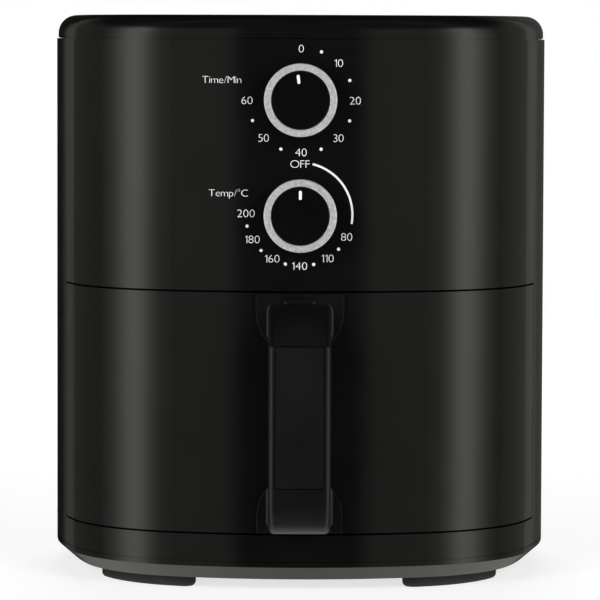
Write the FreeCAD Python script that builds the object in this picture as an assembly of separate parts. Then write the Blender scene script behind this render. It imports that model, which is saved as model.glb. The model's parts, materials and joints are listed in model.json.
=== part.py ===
"""Twin-dial drawer air fryer, built as an assembly of its separate pieces.

Millimetres, +Z up, front towards -Y. Everything is laid out about the middle of the
body, then carried back by BODY_Y, so that the origin lies on the resting surface below
the middle of the overall box, handle and rear grille included.
"""

import FreeCAD, Part

import math
import os

# Body plan: four shallow arcs joined by four corner arcs.
HALF_W = 136.0
HALF_D = 148.0
R_FRONT = 219.0
R_SIDE = 262.0
R_CORNER = 85.0

# Levels, from the resting surface up.
Z_BASE = 6.2
Z_BEVEL = 13.5
Z_BASE_SEAM = 16.3
Z_DRAWER_LOW = 30.6
Z_DRAWER_HIGH = 159.95
Z_TOP_SEAM = 292.5
Z_TOP = 305.0
SEAM = 0.5
SEAM_DEPTH = 0.8
WALL = 3.0
BEVEL_IN = 8.5
TOP_ROUND = 10.0
COVER_IN = 0.8

# Fixings of the casing: (x, y) of the base bosses, (x, z) of the bracket bosses.
BASE_BOSSES = [(-30, -126), (30, -126), (-121, 0), (121, 0), (-30, 126), (30, 126)]
BRACKET_BOSSES = [(-20, 181), (20, 181), (-20, 279), (20, 279)]

# Feet: crescents about the corner arcs' centres, in degrees from straight ahead.
FOOT_MID_R = 65.0
FOOT_HALF = 6.0
FOOT_FROM = 17.4
FOOT_TO = 66.0
FOOT_ROUND = 2.8

# Drawer bay.
BAY_Y = -66.0
DRAWER_GAP = 1.0
DRAWER_BACK = BAY_Y - 0.8
FRAME_OUT = 3.5
FRAME_IN = 13.0
LINER_OUT = 15.3
SHEET = 0.8
Z_FLOOR = 27.0
Z_ROOF = 168.0
PLUNGER_X = 123.0
PLUNGER_Z = 100.0

# Handle.
HANDLE_OUT = 45.0
HANDLE_THICK = 14.0
HANDLE_HALF = 16.2
HANDLE_EDGE = 3.2
ROOT_ROUND = 2.0
HANDLE_TOP = 153.5
HANDLE_SHOULDER = 134.5
HANDLE_CHIN = 60.0
HANDLE_LOW = 35.3
CHIN_TURN = 49.6
CHIN_BACK = 6.7
CHIN_ROUNDS = (40.0, 10.5)
INLAY_HALF = 12.9
PLATE_OUT = 0.8
PLATE_GROOVE = 0.4
ROOTS = [(23.3, 149.0, True), (22.6, 41.0, False)]
NIB_R = 2.0
NIB_HALF = 6.6
NIB_Z = 153.9
NIB_SLOT_HALF = 9.3
NIB_SLOT = (155.9, 156.6)
NIB_SLOT_DEPTH = 0.45
HANDLE_SCREWS = [(-8, 143), (8, 143), (-8, 46), (8, 46)]
DRAWER_SCREWS = [(-52, 62), (52, 62), (-52, 128), (52, 128)]

# Pan and crisper plate.
PAN_IN = 30.0
PAN_WALL = 1.2
Z_PAN = 36.0
Z_PAN_RIM = 150.0
Z_PLATE = 52.0
PLATE_FOOT = (66.0, 72.0)
RIVETS = [(-25, 70), (25, 70), (-25, 112), (25, 112)]

# Dials.
Z_TIMER = 260.5
Z_THERMOSTAT = 200.1
KNOB_R = 18.3
RING_R = 19.15
RING_HOLE_R = 15.45
KNOB_OUT = 17.0
SHAFT_R = 3.0
TIMER_REST_DEG = 6.0
POINTER_HALF = 0.75
POINTER_FROM = 9.25
POINTER_TO = 12.55
BULB_Y = -71.0
BULB_Z = 184.0
BULB_R = 2.6
BULB_FROM_X = -38.0
TUBE_X = 12.0
TUBE_R = 1.1
TUBE_DROP = 5.0
BRACKET_HALF = 27.0
BRACKET_LOW = 176.0
BRACKET_HIGH = 284.2
BRACKET_SHEET = 1.5
TIMER_CASE_HALF = 22.0
THERMOSTAT_CASE_HALF = 15.5
CASE_WALL = 1.4
KNOB_STEP = 5.0
KNOB_HUB_R = 5.5

# Heater, fans and motor, all about the vertical axis through the middle of the body.
ROOF_HOLE_R = 97.0
Z_ELEMENT = 174.0
ELEMENT_R = 3.25
ELEMENT_RINGS = (82.0, 66.0)
ELEMENT_BEND = 8.0
ELEMENT_FROM = math.radians(98)
ELEMENT_TO = math.radians(432)
CLIP_R = 64.0
CLIP_DEGREES = (60, 180, 300)
Z_DOME = 200.0
FAN_R = 56.0
Z_MOTOR_PLATE = 208.0
Z_STATOR = 219.0
STATOR_H = 22.0
COOLING_FAN_R = 50.0
Z_COOLING_FAN = 257.0
MOTOR_POSTS = [(-48, -34), (48, -34), (-48, 34), (48, 34)]
STATOR_SCREWS = (-25.0, 25.0)
CUTOUT_XY = (-34.0, 46.0)
Z_CONVECTION_FAN = 192.0
CONVECTION_HUB_R = 9.0
CONVECTION_BLADES = 12
BLADE_ROOT_R = 16.0
BLADE_LEAN_DEG = 18
COOLING_HUB_R = 11.0
COOLING_HUB_H = 14.0
COOLING_BLADES = 7
COOLING_PITCH_DEG = 28
CORE_HALF_W = 32.0
ROTOR_R = 13.0
BEARING_R = 5.9
TERMINALS = (-12.0, 0.0, 12.0)

# Wire guard below the element.
GUARD_WIRE = 1.0
GUARD_RINGS = (22.0, 44.0, 66.0, 86.0)
GUARD_REACH = 93.0
GUARD_TURN = 10

# Rear grille and cord inlet.
VENT_OUT = 5.0
VENT_HALF = 50.0
VENT_LOW = 165.0
VENT_HIGH = 262.0
VENT_WINDOWS = [(172.0, 198.0), (214.0, 254.0)]
VENT_SLOTS = 11
VENT_PITCH = 7.8
VENT_SLOT_H = 3.8
Z_CORD = 48.0

BODY_Y = (HANDLE_OUT - VENT_OUT) / 2.0
FRONT_Y = -HALF_D


def vec(x, y, z):
    return FreeCAD.Vector(x, y, z)


def box(x0, x1, y0, y1, z0, z1):
    return Part.makeBox(x1 - x0, y1 - y0, z1 - z0, vec(x0, y0, z0))


def post(radius, z0, z1, x=0.0, y=0.0):
    return Part.makeCylinder(radius, z1 - z0, vec(x, y, z0))


def rod(radius, y0, y1, x, z):
    return Part.makeCylinder(radius, y1 - y0, vec(x, y0, z), vec(0, 1, 0))


def fuse(shapes):
    return shapes[0].multiFuse(shapes[1:]).removeSplitter()


def lathe(points):
    """Turns a closed outline of (radius, height) points about Z."""
    ring = [vec(r, 0, z) for r, z in points]
    face = Part.Face(Part.makePolygon(ring + ring[:1]))
    return face.revolve(vec(0, 0, 0), vec(0, 0, 1), 360)


# ---------------------------------------------------------------- body plan


def corner_centre():
    """Centre of the front right corner arc, which touches the front and side arcs."""
    front = R_FRONT - R_CORNER
    side = R_SIDE - R_CORNER
    fx, fy = 0.0, R_FRONT - HALF_D
    sx, sy = HALF_W - R_SIDE, 0.0
    gap = math.hypot(sx - fx, sy - fy)
    ux, uy = (sx - fx) / gap, (sy - fy) / gap
    along = (front**2 - side**2 + gap**2) / (2 * gap)
    across = math.sqrt(front**2 - along**2)
    return fx + along * ux - across * uy, fy + along * uy + across * ux


CORNER_X, CORNER_Y = corner_centre()


def toward(centre, through, radius):
    dx, dy = through[0] - centre[0], through[1] - centre[1]
    length = math.hypot(dx, dy)
    return centre[0] + radius * dx / length, centre[1] + radius * dy / length


def outline(inset, z):
    """The body plan drawn in by inset, as a wire of eight arcs at height z."""
    centre = (CORNER_X, CORNER_Y)
    front = (0.0, R_FRONT - HALF_D)
    side = (HALF_W - R_SIDE, 0.0)
    a = toward(front, centre, R_FRONT - inset)
    b = toward(side, centre, R_SIDE - inset)
    middle = toward(centre, ((a[0] + b[0]) / 2, (a[1] + b[1]) / 2), R_CORNER - inset)
    half_w = HALF_W - inset
    half_d = HALF_D - inset
    arcs = [
        ((-a[0], a[1]), (0, -half_d), a),
        (a, middle, b),
        (b, (half_w, 0), (b[0], -b[1])),
        ((b[0], -b[1]), (middle[0], -middle[1]), (a[0], -a[1])),
        ((a[0], -a[1]), (0, half_d), (-a[0], -a[1])),
        ((-a[0], -a[1]), (-middle[0], -middle[1]), (-b[0], -b[1])),
        ((-b[0], -b[1]), (-half_w, 0), (-b[0], b[1])),
        ((-b[0], b[1]), (-middle[0], middle[1]), (-a[0], a[1])),
    ]
    edges = [
        Part.Arc(*(vec(x, y, z) for x, y in arc)).toShape() for arc in arcs
    ]
    return Part.Wire(edges)


def prism(inset, z0, z1):
    return Part.Face(outline(inset, z0)).extrude(vec(0, 0, z1 - z0))


def band(inset0, inset1, z0, z1):
    """An upright wall that follows the plan, from one inset to a deeper one."""
    return prism(inset0, z0, z1).cut(prism(inset1, z0 - 1, z1 + 1))


def behind(shape, y):
    return shape.common(box(-200, 200, y, 200, -10, 400))


def ahead(shape, y):
    return shape.common(box(-200, 200, -200, y, -10, 400))


def edges_at(shape, z):
    """Edges that lie wholly at height z."""
    return [e for e in shape.Edges
            if abs(e.BoundBox.ZMin - z) < 0.01 and abs(e.BoundBox.ZMax - z) < 0.01]


# ---------------------------------------------------------------- casing


def housing():
    low = Z_BASE_SEAM + SEAM / 2
    high = Z_TOP_SEAM - SEAM / 2
    shell = band(0, WALL, low, high)
    shell = shell.cut(box(-200, 200, -200, BAY_Y, Z_DRAWER_LOW, Z_DRAWER_HIGH))
    shelf_depth = BAY_Y + 1.3
    upper = ahead(prism(WALL - 0.5, Z_DRAWER_HIGH, Z_DRAWER_HIGH + 2.5), shelf_depth)
    lower = ahead(prism(WALL - 0.5, Z_DRAWER_LOW - 2.5, Z_DRAWER_LOW), shelf_depth)
    shapes = [shell, upper, lower]
    for x, y in BASE_BOSSES:
        shapes.append(post(4.5, 19.0, 26.5, x, y))
        shapes.append(boss_rib(x, y))
    for x, z in BRACKET_BOSSES:
        shapes.append(rod(3.5, FRONT_Y + 2.0, FRONT_Y + 8.5, x, z))
    body = fuse(shapes)
    for x, y in BASE_BOSSES:
        body = body.cut(post(1.55, 18.0, 26.0, x, y))
    for z in (Z_TIMER, Z_THERMOSTAT):
        body = body.cut(rod(5.0, FRONT_Y - 5, FRONT_Y + 5, 0, z))
    body = body.cut(rod(6.5, HALF_D - 5, HALF_D + 5, 0, Z_CORD))
    for z0, z1 in VENT_WINDOWS:
        body = body.cut(box(-42, 42, 120, 160, z0, z1))
    return body


def boss_rib(x, y):
    """Ties a base boss to the nearest stretch of wall."""
    if y == 0:
        x0, x1 = sorted((x, math.copysign(HALF_W - 1.5, x)))
        return box(x0, x1, -1.5, 1.5, 22.7, 26.5)
    wall_y = math.copysign(HALF_D - 3.6, y)
    y0, y1 = sorted((y, wall_y))
    return box(x - 1.5, x + 1.5, y0, y1, 22.7, 26.5)


def top_cover():
    outer = prism(COVER_IN, Z_TOP_SEAM + SEAM / 2, Z_TOP)
    outer = outer.makeFillet(TOP_ROUND, edges_at(outer, Z_TOP))
    inner = prism(COVER_IN + 2.6, Z_TOP_SEAM - 5, Z_TOP - 2.6)
    inner = inner.makeFillet(TOP_ROUND - 2.6, edges_at(inner, Z_TOP - 2.6))
    skirt = band(WALL + 0.4, WALL + 2.4, Z_TOP_SEAM - 7.5, Z_TOP_SEAM + 3)
    ledge = band(COVER_IN + SEAM_DEPTH, WALL + 2, Z_TOP_SEAM - SEAM / 2 + 0.1, Z_TOP_SEAM + 1)
    ribs = []
    for x in (-60, 0, 60):
        ribs.append(box(x - 1, x + 1, -90, 90, Z_TOP - 7, Z_TOP - 2))
    return fuse([outer.cut(inner), skirt, ledge] + ribs)


def base():
    low = Part.makeLoft([outline(BEVEL_IN, Z_BASE), outline(0, Z_BEVEL)], True, True)
    rim = prism(0, Z_BEVEL, Z_BASE_SEAM - SEAM / 2)
    floor = Z_BASE + 2.5
    hollow = Part.makeLoft([outline(11, floor), outline(WALL, Z_BEVEL + 1.5)], True, True)
    body = low.fuse(rim).cut(hollow)
    body = body.cut(prism(WALL, Z_BEVEL + 1.5, 40))
    lip = band(WALL + 0.4, WALL + 2.2, Z_BEVEL - 0.5, Z_BASE_SEAM + 6)
    ledge = band(SEAM_DEPTH, WALL + 1, Z_BASE_SEAM - 1, Z_BASE_SEAM + SEAM / 2 - 0.1)
    shapes = [body, lip, ledge]
    for x, y in BASE_BOSSES:
        shapes.append(post(4.6, Z_BASE, 18.6, x, y))
    tray = fuse(shapes)
    for x, y in BASE_BOSSES:
        tray = tray.cut(post(1.8, 5, 20, x, y))
        tray = tray.cut(post(3.8, 5, 12, x, y))
    for n in range(-6, 7):
        tray = tray.cut(box(n * 8 - 1.75, n * 8 + 1.75, -32, 32, 5, 10))
    for x, y in foot_pegs():
        tray = tray.cut(post(2.1, 5, 10, x, y))
    return tray


def foot_point(radius, degrees):
    """A point about the front right corner arc's centre, turned from -Y towards +X."""
    turn = math.radians(degrees)
    return CORNER_X + radius * math.sin(turn), CORNER_Y - radius * math.cos(turn)


def foot_pegs():
    pegs = []
    for degrees in (FOOT_FROM + 6, FOOT_TO - 6):
        x, y = foot_point(FOOT_MID_R, degrees)
        pegs += [(x, y), (-x, y), (x, -y), (-x, -y)]
    return pegs


def foot():
    outer = FOOT_MID_R + FOOT_HALF
    inner = FOOT_MID_R - FOOT_HALF
    middle = (FOOT_FROM + FOOT_TO) / 2
    cap = math.degrees(FOOT_HALF / FOOT_MID_R)
    arcs = [
        ((outer, FOOT_FROM), (outer, middle), (outer, FOOT_TO)),
        ((outer, FOOT_TO), (FOOT_MID_R, FOOT_TO + cap), (inner, FOOT_TO)),
        ((inner, FOOT_TO), (inner, middle), (inner, FOOT_FROM)),
        ((inner, FOOT_FROM), (FOOT_MID_R, FOOT_FROM - cap), (outer, FOOT_FROM)),
    ]
    edges = [
        Part.Arc(*(vec(*foot_point(r, a), 0) for r, a in arc)).toShape() for arc in arcs
    ]
    pad = Part.Face(Part.Wire(edges)).extrude(vec(0, 0, Z_BASE))
    return pad.makeFillet(FOOT_ROUND, edges_at(pad, 0))


def feet():
    pad = foot()
    pegs = []
    for degrees in (FOOT_FROM + 6, FOOT_TO - 6):
        x, y = foot_point(FOOT_MID_R, degrees)
        pegs.append(post(2.0, Z_BASE - 1, Z_BASE + 2.4, x, y))
    pad = fuse([pad] + pegs)
    across = pad.mirror(vec(0, 0, 0), vec(1, 0, 0))
    rear = [s.mirror(vec(0, 0, 0), vec(0, 1, 0)) for s in (pad, across)]
    return Part.Compound([pad, across] + rear)


def base_screws():
    screws = []
    for x, y in BASE_BOSSES:
        head = post(3.4, 9.6, 12.0, x, y)
        screws.append(head.fuse(post(1.5, 11.9, 25.0, x, y)))
    return Part.Compound(screws)


def rear_vent_cover():
    panel = prism(-VENT_OUT, VENT_LOW, VENT_HIGH).cut(prism(-0.05, 0, 400))
    panel = panel.common(box(-VENT_HALF, VENT_HALF, 100, 200, VENT_LOW, VENT_HIGH))
    outer = [e for e in panel.Edges if e.BoundBox.YMin > HALF_D - 5 and on_rim(e)]
    panel = panel.makeFillet(2.0, outer)
    for n in range(VENT_SLOTS):
        z = VENT_LOW + 9 + n * VENT_PITCH
        panel = panel.cut(box(-40, 40, 130, 170, z, z + VENT_SLOT_H))
    return panel


def on_rim(edge):
    """Whether an edge lies on the proud face of the rear grille."""
    middle = edge.valueAt((edge.FirstParameter + edge.LastParameter) / 2)
    radius = math.hypot(middle.x, middle.y + R_FRONT - HALF_D)
    ends = [math.hypot(v.X, v.Y + R_FRONT - HALF_D) for v in edge.Vertexes]
    return min([radius] + ends) > R_FRONT + VENT_OUT - 0.1


def cord_gland():
    y = HALF_D
    body = fuse([
        rod(9.0, y + 0.05, y + 3.5, 0, Z_CORD),
        rod(6.2, y - 8.0, y + 0.1, 0, Z_CORD),
        rod(8.5, y - 6.5, y - 3.4, 0, Z_CORD),
    ])
    return body.cut(rod(3.6, y - 10, y + 6, 0, Z_CORD))


# ---------------------------------------------------------------- drawer bay


def chamber_frame():
    """Moulded inner frame: front bezel, duct wall, floor and roof."""
    duct = prism(FRAME_IN, Z_FLOOR, Z_ROOF).cut(prism(FRAME_IN + 2, Z_FLOOR + 2, Z_ROOF - 3))
    roof = band(FRAME_OUT, FRAME_IN + 1, Z_ROOF - 3, Z_ROOF)
    bezel = ahead(band(FRAME_OUT, FRAME_IN + 1, Z_FLOOR, Z_ROOF), BAY_Y + 4.5)
    frame = behind(fuse([duct, roof, bezel]), BAY_Y + 1.5)
    frame = frame.cut(post(ROOF_HOLE_R + 2, Z_ROOF - 10, Z_ROOF + 5))
    return frame.cut(rod(1.6, BAY_Y - 1, BAY_Y + 8, PLUNGER_X, PLUNGER_Z))


def chamber_liner():
    z0 = Z_FLOOR + 2.3
    z1 = Z_ROOF - 3.3
    liner = prism(LINER_OUT, z0, z1).cut(prism(LINER_OUT + SHEET, z0 + SHEET, z1 - SHEET))
    liner = behind(liner, BAY_Y + 2)
    return liner.cut(post(ROOF_HOLE_R, z1 - 5, z1 + 5))


def slide_rails():
    low = Z_FLOOR + 2.3 + SHEET
    rails = []
    for x in (-70, 70):
        rail = box(x - 5, x + 5, BAY_Y + 4, 90, low, Z_PAN - 0.4)
        rails.append(rail.makeChamfer(1.2, edges_at(rail, Z_PAN - 0.4)))
    return Part.Compound(rails)


def interlock_switch():
    y0 = BAY_Y + 9
    case = box(PLUNGER_X - 2.4, PLUNGER_X + 3.2, y0, y0 + 20, PLUNGER_Z - 7, PLUNGER_Z + 9)
    case = case.cut(rod(1.7, y0 - 1, y0 + 4, PLUNGER_X, PLUNGER_Z))
    tabs = [
        box(PLUNGER_X, PLUNGER_X + 0.8, y0 + 19.9, y0 + 26, z, z + 4)
        for z in (PLUNGER_Z - 5, PLUNGER_Z + 3)
    ]
    return fuse([case] + tabs)


def interlock_plunger():
    pin = rod(1.5, BAY_Y - 0.4, BAY_Y + 10.5, PLUNGER_X, PLUNGER_Z)
    nose = [e for e in pin.Edges if e.BoundBox.YMax < BAY_Y]
    return pin.makeFillet(0.7, nose)


# ---------------------------------------------------------------- heater and fans


def heat_shield():
    t = SHEET
    slope_r = 70.0
    foot_r = ROOF_HOLE_R
    z0 = Z_ROOF
    outer = [
        (8.0, Z_DOME), (slope_r, Z_DOME), (foot_r, z0 + 2), (foot_r, z0), (foot_r + 8, z0),
        (foot_r + 8, z0 + t), (foot_r + t, z0 + t), (foot_r + t, z0 + 2.4),
        (slope_r + 0.4, Z_DOME + t), (8.0, Z_DOME + t),
    ]
    dome = lathe(outer)
    dome = dome.cut(box(-30, 30, 60, 100, Z_ROOF + 6, Z_DOME - 5))
    for x, y in MOTOR_POSTS:
        dome = dome.cut(post(1.6, Z_DOME - 2, Z_DOME + 3, x, y))
    dome = dome.cut(element_holes(ELEMENT_R + 0.8))
    return dome.cut(capillary(2.0))


def insulation():
    pad = post(88.0, Z_DOME + 1.4, Z_DOME + 6.4).cut(post(14.0, 0, 300))
    for x, y in MOTOR_POSTS:
        pad = pad.cut(post(4.5, 0, 300, x, y))
    pad = pad.cut(element_holes(ELEMENT_R + 0.8))
    return pad.cut(post(9.0, 0, 300, *CUTOUT_XY))


def ring(radius, angle):
    return vec(radius * math.cos(angle), radius * math.sin(angle), Z_ELEMENT)


def along(angle):
    return vec(-math.sin(angle), math.cos(angle), 0)


def element_tail(radius):
    """Points of the upward bend at a ring's end: on the ring, mid bend, above it, terminal."""
    up = vec(0, 0, 1)
    quarter = math.sqrt(0.5)
    tip = ring(radius, ELEMENT_FROM)
    back = along(ELEMENT_FROM) * -ELEMENT_BEND
    knee = tip + back * quarter + up * ELEMENT_BEND * (1 - quarter)
    lift = tip + back + up * ELEMENT_BEND
    return tip, knee, lift, lift + up * 26.0


def element_holes(radius):
    """Drills for the two terminals where they rise through the pieces above."""
    drills = []
    for ring_radius in ELEMENT_RINGS:
        lift = element_tail(ring_radius)[2]
        drills.append(post(radius, Z_ELEMENT, Z_DOME + 20, lift.x, lift.y))
    return Part.Compound(drills)


def element_path():
    """Two rings joined by a U bend, with both ends turned up to the terminals."""
    outer, inner = ELEMENT_RINGS
    start, end = ELEMENT_FROM, ELEMENT_TO
    half = (start + end) / 2
    tails = [element_tail(radius) for radius in ELEMENT_RINGS]
    edges = []
    tip, knee, lift, top = tails[0]
    edges.append(Part.LineSegment(top, lift).toShape())
    edges.append(Part.Arc(lift, knee, tip).toShape())
    edges.append(Part.Arc(tip, ring(outer, half), ring(outer, end)).toShape())
    nose = ring((outer + inner) / 2, end) + along(end) * ((outer - inner) / 2)
    edges.append(Part.Arc(ring(outer, end), nose, ring(inner, end)).toShape())
    tip, knee, lift, top = tails[1]
    edges.append(Part.Arc(ring(inner, end), ring(inner, half), tip).toShape())
    edges.append(Part.Arc(tip, knee, lift).toShape())
    edges.append(Part.LineSegment(lift, top).toShape())
    return Part.Wire(edges)


def heating_element():
    path = element_path()
    start = path.OrderedVertexes[0].Point
    circle = Part.Wire(Part.makeCircle(ELEMENT_R, start, vec(0, 0, -1)))
    return path.makePipeShell([circle], True, False)


def element_clips():
    clips = []
    top = Z_ELEMENT + ELEMENT_R
    for degrees in CLIP_DEGREES:
        strap = box(60, 88, -4, 4, top + 0.1, top + 1.1)
        lip = box(87, 88, -4, 4, Z_ELEMENT, top + 1.1)
        stem = post(2.0, top + 1.0, Z_DOME, CLIP_R, 0)
        clip = fuse([strap, lip, stem])
        clips.append(clip.rotate(vec(0, 0, 0), vec(0, 0, 1), degrees))
    return Part.Compound(clips)


def element_guard():
    """Wire guard below the element: four rings held by six spokes."""
    z = Z_ROOF - 2.0
    wires = [Part.makeTorus(r, GUARD_WIRE, vec(0, 0, z)) for r in GUARD_RINGS]
    for degrees in range(GUARD_TURN, GUARD_TURN + 360, 60):
        spoke = rod(GUARD_WIRE, GUARD_RINGS[0] - 0.4, GUARD_REACH, 0, z - 1.2)
        wires.append(spoke.rotate(vec(0, 0, 0), vec(0, 0, 1), degrees))
    return fuse(wires)


def motor_mount_plate():
    plate = box(-58, 58, -44, 44, Z_MOTOR_PLATE, Z_MOTOR_PLATE + 1.5)
    plate = plate.makeFillet(8, [e for e in plate.Edges if abs(e.Length - 1.5) < 0.01])
    plate = plate.cut(post(12.0, 0, 300))
    for x, y in MOTOR_POSTS:
        plate = plate.cut(post(1.6, 0, 300, x, y))
    for x in STATOR_SCREWS:
        plate = plate.cut(post(2.1, 0, 300, x, 0))
    return plate


def motor_standoffs():
    stands = []
    for x, y in MOTOR_POSTS:
        sleeve = post(4.0, Z_DOME + SHEET, Z_MOTOR_PLATE, x, y)
        screw = post(1.5, Z_DOME - 1.5, Z_MOTOR_PLATE + 3.0, x, y)
        stands.append(fuse([sleeve, screw, post(3.2, Z_MOTOR_PLATE + 1.5, Z_MOTOR_PLATE + 4, x, y)]))
    return Part.Compound(stands)


def motor_stator():
    z1 = Z_STATOR + STATOR_H
    core = box(-CORE_HALF_W, CORE_HALF_W, -26, 42, Z_STATOR, z1)
    core = core.cut(box(-20, 20, 22, 32, Z_STATOR - 1, z1 + 1))
    core = core.cut(post(ROTOR_R + 0.4, Z_STATOR - 1, z1 + 1))
    for x in STATOR_SCREWS:
        core = core.cut(post(2.1, Z_STATOR - 1, z1 + 1, x, 0))
    return core


def motor_coil():
    """Winding round the back leg of the core."""
    core = box(-17, 17, 23.2, 50, Z_STATOR - 7, Z_STATOR + STATOR_H + 7)
    core = core.makeFillet(3, [e for e in core.Edges if abs(e.Length - 34) < 0.01])
    return core.cut(box(-18, 18, 31.8, 42.2, Z_STATOR - 0.2, Z_STATOR + STATOR_H + 0.2))


def motor_brackets():
    brackets = []
    for z in (Z_STATOR - 7.5, Z_STATOR + STATOR_H + 6.0):
        bar = box(-30, 30, -7, 7, z, z + 1.5)
        bar = bar.cut(post(BEARING_R + 0.1, z - 1, z + 3))
        for x in STATOR_SCREWS:
            bar = bar.cut(post(2.1, z - 1, z + 3, x, 0))
        brackets.append(bar)
    return Part.Compound(brackets)


def motor_bearings():
    rings = []
    for z in (Z_STATOR - 9.0, Z_STATOR + STATOR_H + 4.5):
        rings.append(post(BEARING_R, z, z + 4.5).cut(post(SHAFT_R + 0.05, z - 1, z + 6)))
    return Part.Compound(rings)


def motor_screws():
    screws = []
    top = Z_STATOR + STATOR_H + 7.5
    for x in STATOR_SCREWS:
        stud = post(2.0, Z_MOTOR_PLATE - 1.2, top + 2.5, x, 0)
        stud = stud.fuse(post(3.6, top, top + 2.5, x, 0))
        screws.append(stud.fuse(post(3.2, Z_MOTOR_PLATE + 1.5, Z_STATOR - 7.5, x, 0)))
        spacer_low = Z_STATOR - 6.0
        screws.append(post(3.2, spacer_low, Z_STATOR, x, 0).cut(post(2.1, 0, 300, x, 0)))
        high = Z_STATOR + STATOR_H
        screws.append(post(3.2, high, high + 6.0, x, 0).cut(post(2.1, 0, 300, x, 0)))
    return Part.Compound(screws)


def motor_shaft():
    shaft = post(SHAFT_R, 176.5, Z_COOLING_FAN + 18)
    return shaft.makeChamfer(0.5, shaft.Edges[:1] + shaft.Edges[2:])


def motor_rotor():
    body = post(ROTOR_R, Z_STATOR, Z_STATOR + STATOR_H)
    return body.cut(post(SHAFT_R, 0, 400))


def fan_nut():
    points = []
    for n in range(7):
        turn = math.radians(60 * n)
        points.append(vec(4.8 * math.cos(turn), 4.8 * math.sin(turn), 177.2))
    nut = Part.Face(Part.makePolygon(points)).extrude(vec(0, 0, 3.6))
    return nut.cut(post(SHAFT_R, 0, 400))


def convection_fan():
    z = Z_CONVECTION_FAN
    hub = post(CONVECTION_HUB_R, z - 11.1, z + 1.0)
    disc = post(FAN_R, z, z + 1.0)
    shapes = [hub, disc]
    for n in range(CONVECTION_BLADES):
        blade = box(BLADE_ROOT_R, FAN_R - 1, -0.5, 0.5, z - 10.5, z + 0.5)
        blade = blade.rotate(vec(BLADE_ROOT_R, 0, 0), vec(0, 0, 1), BLADE_LEAN_DEG)
        shapes.append(blade.rotate(vec(0, 0, 0), vec(0, 0, 1), 360 * n / CONVECTION_BLADES))
    return fuse(shapes).cut(post(SHAFT_R, 0, 400))


def cooling_fan():
    z = Z_COOLING_FAN
    shapes = [post(COOLING_HUB_R, z, z + COOLING_HUB_H)]
    for n in range(COOLING_BLADES):
        blade = box(9, COOLING_FAN_R, -9, 9, z + 6.2, z + 7.8)
        blade = blade.rotate(vec(0, 0, z + COOLING_HUB_H / 2), vec(1, 0, 0), COOLING_PITCH_DEG)
        shapes.append(blade.rotate(vec(0, 0, 0), vec(0, 0, 1), 360 * n / COOLING_BLADES))
    return fuse(shapes).cut(post(SHAFT_R, 0, 400))


def exhaust_duct():
    z0, z1 = Z_ROOF + 2.0, Z_DOME - 1.0
    duct = box(-44, 44, 101, 139, z0, z1).cut(box(-42, 42, 95, 150, z0 + 1.5, z1 - 1.5))
    return duct


def thermal_cutout():
    x, y = CUTOUT_XY
    can = post(8.0, Z_DOME + SHEET, Z_DOME + 6.0, x, y)
    stem = post(5.0, Z_DOME + 6.0, Z_DOME + 7.5, x, y)
    return fuse([can, stem])


def terminal_block():
    y0, z0 = -43.0, Z_MOTOR_PLATE + 1.5
    block = box(-18, 18, y0, y0 + 13, z0, z0 + 7)
    shapes = [block]
    for x in TERMINALS:
        shapes.append(box(x - 4.5, x + 4.5, y0 + 1, y0 + 12, z0 + 6.9, z0 + 14))
    body = fuse(shapes)
    for x in TERMINALS:
        body = body.cut(post(2.5, z0 + 9, z0 + 20, x, y0 + 6.5))
    return body


# ---------------------------------------------------------------- controls


def control_bracket():
    y0 = FRONT_Y + 8.5
    half, sheet = BRACKET_HALF, BRACKET_SHEET
    plate = box(-half, half, y0, y0 + sheet, BRACKET_LOW, BRACKET_HIGH)
    for z in (Z_TIMER, Z_THERMOSTAT):
        plate = plate.cut(rod(5.0, y0 - 1, y0 + 3, 0, z))
    for x, z in BRACKET_BOSSES:
        plate = plate.cut(rod(1.8, y0 - 1, y0 + 3, x, z))
    flanges = [
        box(-half, half, y0, y0 + 7, BRACKET_LOW, BRACKET_LOW + sheet),
        box(-half, half, y0, y0 + 7, BRACKET_HIGH - sheet, BRACKET_HIGH),
    ]
    return fuse([plate] + flanges)


def cased(half, y0, y1, z):
    """A thin-walled square case with a bush for its spindle."""
    case = box(-half, half, y0, y1, z - half, z + half)
    wall = CASE_WALL
    inside = box(-half + wall, half - wall, y0 + wall, y1 + 1, z - half + wall, z + half - wall)
    case = case.cut(inside)
    bush = rod(5.0, y0, y1 - 6, 0, z)
    plate = box(-half + 0.5, half - 0.5, y1 - 8, y1 - 6, z - half + 0.5, z + half - 0.5)
    case = fuse([case, bush, plate])
    return case.cut(rod(SHAFT_R + 0.05, y0 - 1, y1 - 9, 0, z))


def timer_case():
    return cased(TIMER_CASE_HALF, FRONT_Y + 10, FRONT_Y + 44, Z_TIMER)


def timer_bell():
    y0 = FRONT_Y + 44.3
    bell = rod(17.0, y0, y0 + 6, 0, Z_TIMER)
    rim = [e for e in bell.Edges if e.BoundBox.YMin > y0 + 5]
    bell = bell.makeFillet(3.0, rim)
    bell = bell.cut(rod(15.8, y0 - 1, y0 + 3, 0, Z_TIMER))
    stem = rod(2.0, FRONT_Y + 38, y0 + 4, 0, Z_TIMER)
    return fuse([bell, stem])


def thermostat_case():
    return cased(THERMOSTAT_CASE_HALF, FRONT_Y + 10, FRONT_Y + 36, Z_THERMOSTAT)


def capillary(radius):
    """Straight run of the sensing tube from the bulb's end to the thermostat."""
    start = vec(TUBE_X, BULB_Y, BULB_Z)
    end = vec(TUBE_X, FRONT_Y + 30.5, Z_THERMOSTAT - TUBE_DROP)
    run = end - start
    return Part.makeCylinder(radius, run.Length, start, run)


def thermostat_bulb():
    start = vec(BULB_FROM_X, BULB_Y, BULB_Z)
    bulb = Part.makeCylinder(BULB_R, TUBE_X + 2 - BULB_FROM_X, start, vec(1, 0, 0))
    return fuse([bulb, capillary(TUBE_R)])


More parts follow.
